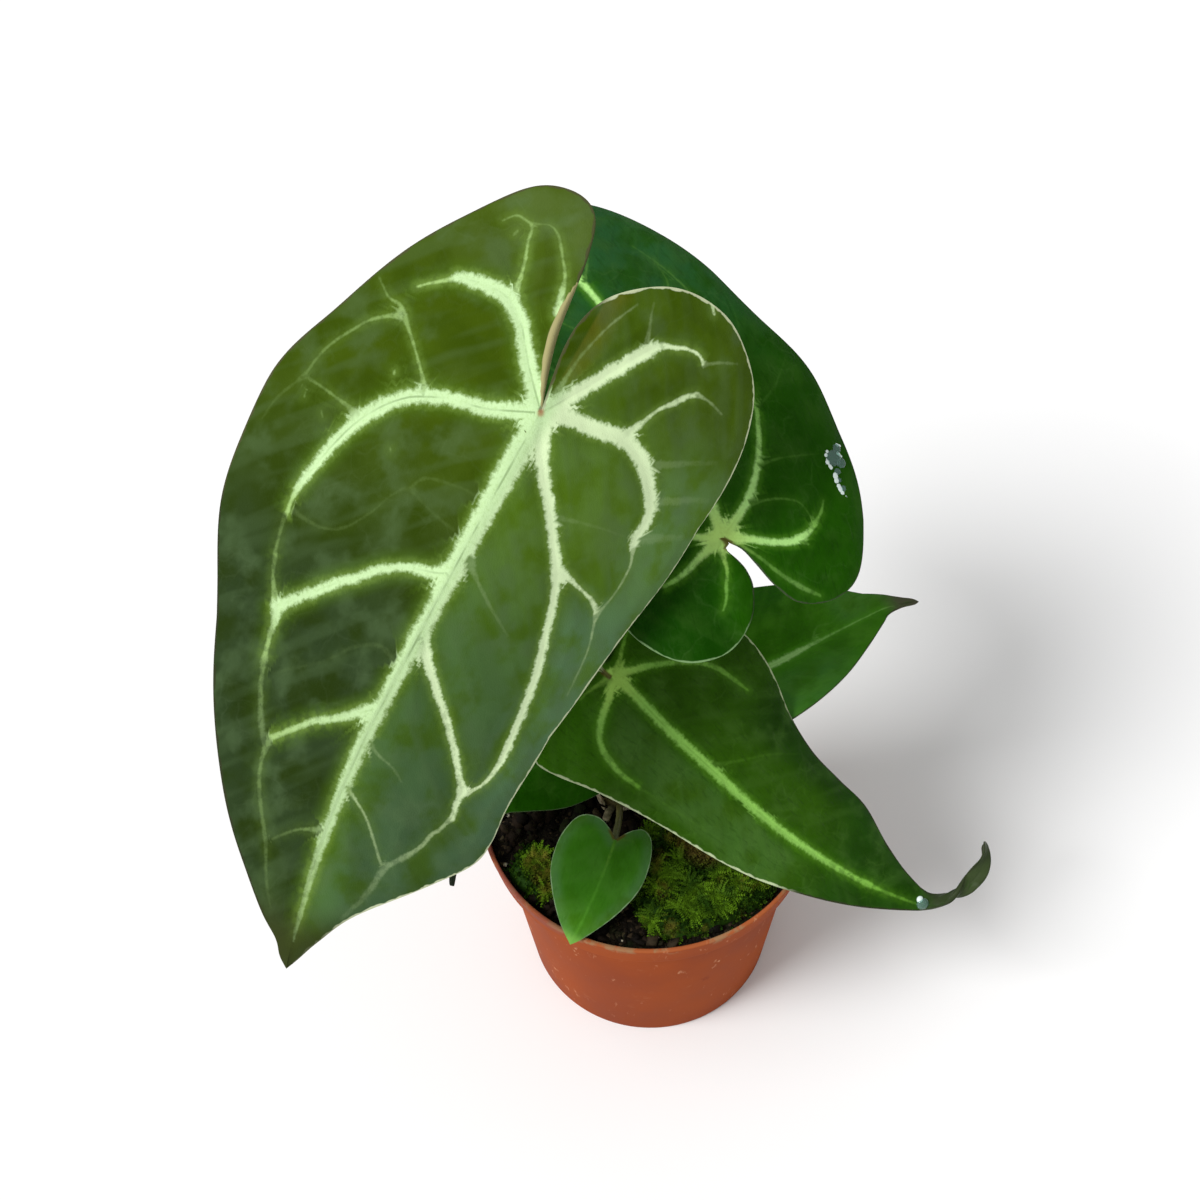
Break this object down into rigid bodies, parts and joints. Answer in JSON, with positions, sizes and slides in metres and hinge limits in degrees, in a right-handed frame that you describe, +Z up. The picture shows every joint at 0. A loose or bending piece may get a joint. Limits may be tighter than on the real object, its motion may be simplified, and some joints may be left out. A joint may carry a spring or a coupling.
{
  "type": "potted anthurium hybrid",
  "caption": "Potted anthurium hybrid with velvety, pale-veined heart-shaped leaves on slender stalks, in a terracotta-coloured plastic nursery pot",
  "frame": {"origin": "on the ground under the centre of the pot's foot", "axes": "+Z up along the pot's axis, -Y towards the side the picture was taken from, +X to its right"},
  "size_m": [0.2392, 0.248, 0.3097],
  "materials": {
    "pot_plastic": "satin moulded plastic, faintly scuffed",
    "bark_mix": "rough damp bark and fibre",
    "moss": "matte, tufted",
    "rhizome": "matte, ringed by leaf scars",
    "root": "matte, stubby aerial roots",
    "sheath": "dry and papery",
    "petiole": "smooth, faintly glossy",
    "velvet_leaf": "velvety, with pale feathered veins",
    "green_leaf": "satin, with yellow-green veins",
    "perlite": "pale chalky grains",
    "water": "clear drops"
  },
  "bodies": {
    "root": {"pot": "pot_plastic", "soil": "bark_mix", "moss_front": "moss", "moss_left": "moss", "stem": "rhizome", "root_1": "root", "root_2": "root", "root_3": "root", "root_4": "root", "sheath_1": "sheath", "sheath_2": "sheath", "petiole_1": "petiole", "petiole_2": "petiole", "petiole_3": "petiole", "petiole_4": "petiole", "petiole_5": "petiole", "petiole_6": "petiole", "blade_1": "velvet_leaf", "blade_2": "green_leaf", "blade_3": "green_leaf", "blade_4": "green_leaf", "blade_5": "green_leaf", "blade_6": "green_leaf"}
  },
  "joints": []
}
